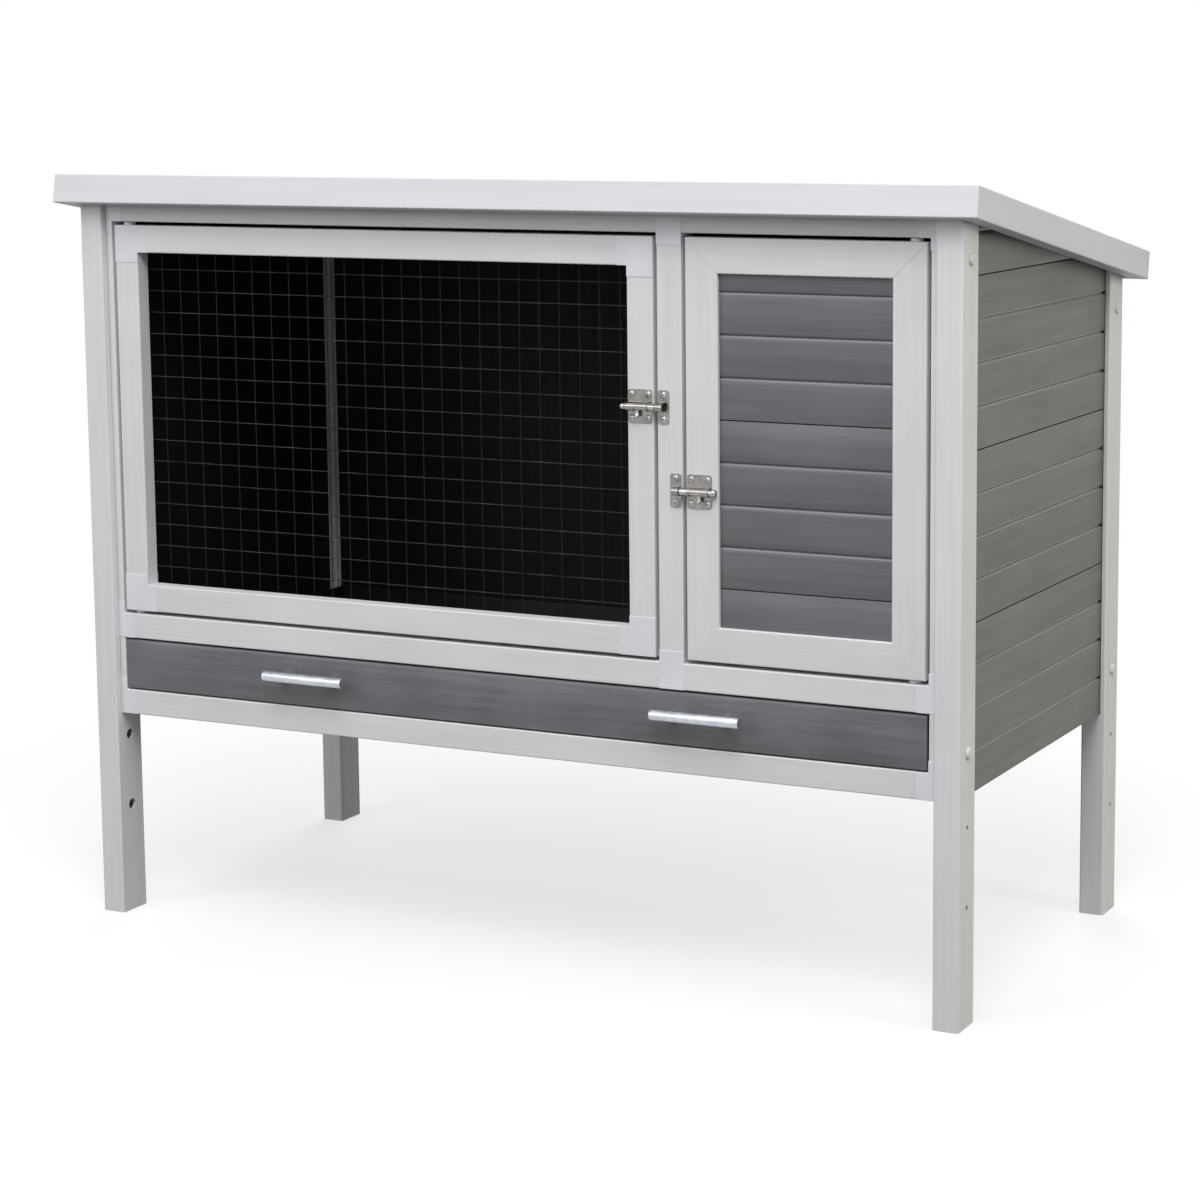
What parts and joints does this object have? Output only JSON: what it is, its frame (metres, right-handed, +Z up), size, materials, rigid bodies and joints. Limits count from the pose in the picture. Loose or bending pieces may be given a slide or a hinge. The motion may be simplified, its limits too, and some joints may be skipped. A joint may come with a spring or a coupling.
{
  "type": "rabbit hutch",
  "caption": "Raised rabbit hutch on legs with a lean-to roof, a wire mesh door, a boarded nest door with barrel bolts, and a full-width pull-out litter drawer.",
  "frame": {"origin": "on the ground under the middle of the outline of the roof", "axes": "+X to the nest side, +Y to the back, +Z up"},
  "size_m": [1.159, 0.5822, 0.8952],
  "materials": {
    "frame": "light grey composite, brushed",
    "connector": "light grey moulded plastic",
    "board": "slate grey composite, brushed along the board",
    "roof_trim": "pale grey composite",
    "runner": "grey extruded plastic",
    "tray": "dark grey moulded plastic",
    "foot": "black",
    "bolt": "zinc plated",
    "cap": "white",
    "strip": "light grey",
    "mesh": "black coated wire",
    "latch": "nickel plated",
    "screw": "nickel plated",
    "handle": "satin"
  },
  "bodies": {
    "cabinet": {"post_front_left": "frame", "post_front_right": "frame", "post_back_left": "frame", "post_back_right": "frame", "top_rail_left": "frame", "top_rail_right": "frame", "mid_rail_left": "frame", "mid_rail_right": "frame", "bottom_rail": "frame", "front_stile_left": "frame", "front_stile_right": "frame", "mullion": "frame", "back_stile_left": "frame", "back_stile_right": "frame", "back_mullion": "frame", "back_rail_top": "frame", "back_rail_bottom": "frame", "frame_corners": "connector", "frame_tees": "connector", "side_boards_left": "board", "side_boards_right": "board", "back_boards": "board", "roof_boards": "board", "partition": "board", "roof_rail_front": "roof_trim", "roof_rail_right": "roof_trim", "roof_rail_back": "roof_trim", "roof_rail_left": "roof_trim", "drawer_runner_left": "runner", "drawer_runner_right": "runner", "tray_bearers": "runner", "foot_plugs": "foot", "frame_bolts": "bolt", "bolt_caps": "cap", "bolt_keepers": "latch", "keeper_screws": "screw"},
    "wire_door": {"wire_door_stile_hinge": "frame", "wire_door_stile_latch": "frame", "wire_door_rail_top": "frame", "wire_door_rail_bottom": "frame", "wire_door_corners": "connector", "wire_mesh": "mesh", "mesh_strips": "strip", "wire_door_pivots": "cap", "upper_latch_plate": "latch", "upper_latch_screws": "screw"},
    "nest_door": {"nest_door_stile_hinge": "frame", "nest_door_stile_latch": "frame", "nest_door_rail_top": "frame", "nest_door_rail_bottom": "frame", "nest_door_boards": "board", "nest_door_pivots": "cap", "lower_latch_plate": "latch", "lower_latch_screws": "screw"},
    "upper_bolt": {"upper_bolt_rod": "latch"},
    "lower_bolt": {"lower_bolt_rod": "latch"},
    "drawer": {"drawer_front": "board", "drawer_tray": "tray", "drawer_handle_left": "handle", "drawer_handle_right": "handle"}
  },
  "joints": [
    {"name": "wire_door_hinge", "type": "hinge", "parent": "cabinet", "child": "wire_door", "pos_m": [-0.4993, -0.25136, 0.3746], "axis": [0, 0, -1], "range_deg": [0, 110]},
    {"name": "nest_door_hinge", "type": "hinge", "parent": "cabinet", "child": "nest_door", "pos_m": [0.4993, -0.25136, 0.3746], "axis": [0, 0, 1], "range_deg": [0, 110]},
    {"name": "drawer_slide", "type": "slide", "parent": "cabinet", "child": "drawer", "axis": [0, -1, 0], "range_m": [0, 0.38]},
    {"name": "upper_bolt_slide", "type": "slide", "parent": "wire_door", "child": "upper_bolt", "axis": [1, 0, 0], "range_m": [0, 0.009]},
    {"name": "lower_bolt_slide", "type": "slide", "parent": "nest_door", "child": "lower_bolt", "axis": [-1, 0, 0], "range_m": [0, 0.009]}
  ]
}
